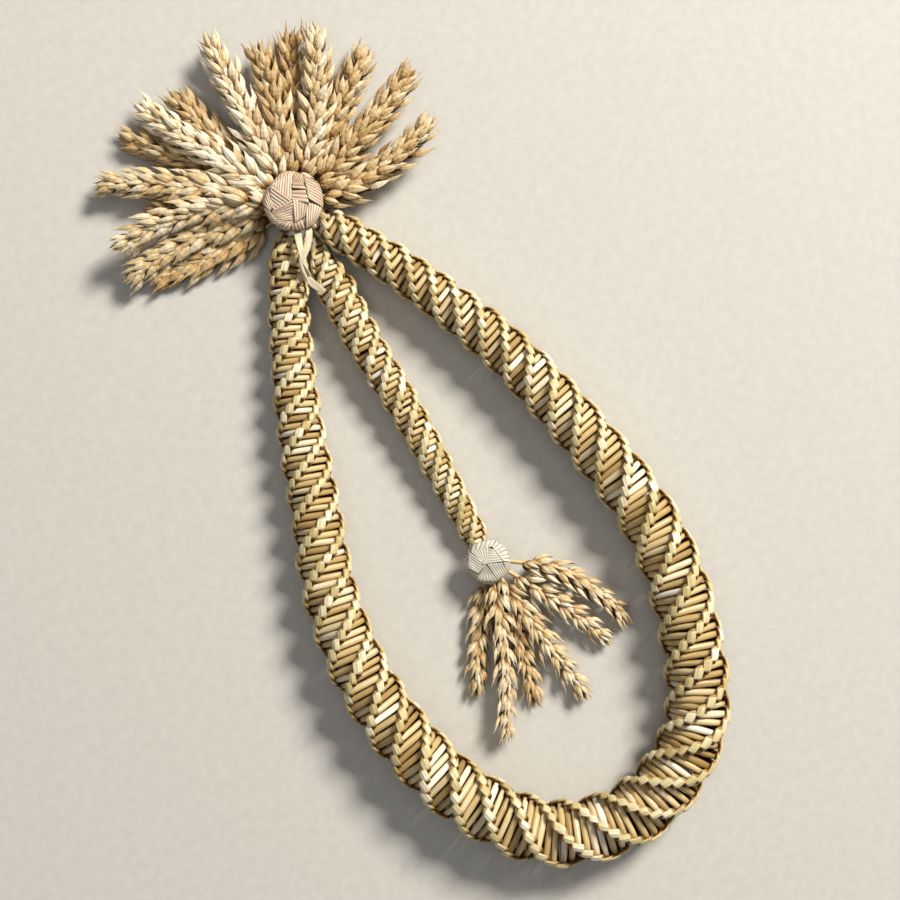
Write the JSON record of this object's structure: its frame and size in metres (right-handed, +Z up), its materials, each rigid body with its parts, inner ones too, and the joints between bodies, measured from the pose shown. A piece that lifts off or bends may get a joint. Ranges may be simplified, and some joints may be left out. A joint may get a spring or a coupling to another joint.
{
  "type": "straw ornament",
  "caption": "Harvest ornament: a drop-shaped loop of spiral straw plait with a shorter plait inside, ribbon knots, a fan of wheat ears and a hanging bunch.",
  "frame": {"origin": "on the table under the middle of the whole ornament", "axes": "+Y points along the ornament to the fan of ears at its top, +X to the right arm of the loop, +Z up from the table"},
  "size_m": [0.1974, 0.4618, 0.0327],
  "materials": {
    "straw": "satin, glossy on the straw bars",
    "wheat": "dry, matt to satin husks",
    "ribbon": "satin flat splints",
    "binding": "matt thread"
  },
  "bodies": {
    "root": {"loop_plait": "straw", "drop_plait": "straw", "top_binding": "binding", "lower_binding": "binding", "big_knot": "ribbon", "small_knot": "ribbon", "short_tail": "ribbon", "long_tail": "ribbon", "top_ear_01": "wheat", "top_ear_02": "wheat", "top_ear_03": "wheat", "top_ear_04": "wheat", "top_ear_05": "wheat", "top_ear_06": "wheat", "top_ear_07": "wheat", "top_ear_08": "wheat", "top_ear_09": "wheat", "top_ear_10": "wheat", "top_ear_11": "wheat", "top_ear_12": "wheat", "top_ear_13": "wheat", "top_ear_14": "wheat", "top_ear_15": "wheat", "top_ear_16": "wheat", "lower_ear_01": "wheat", "lower_ear_02": "wheat", "lower_ear_03": "wheat", "lower_ear_04": "wheat", "lower_ear_05": "wheat", "lower_ear_06": "wheat"}
  },
  "joints": []
}
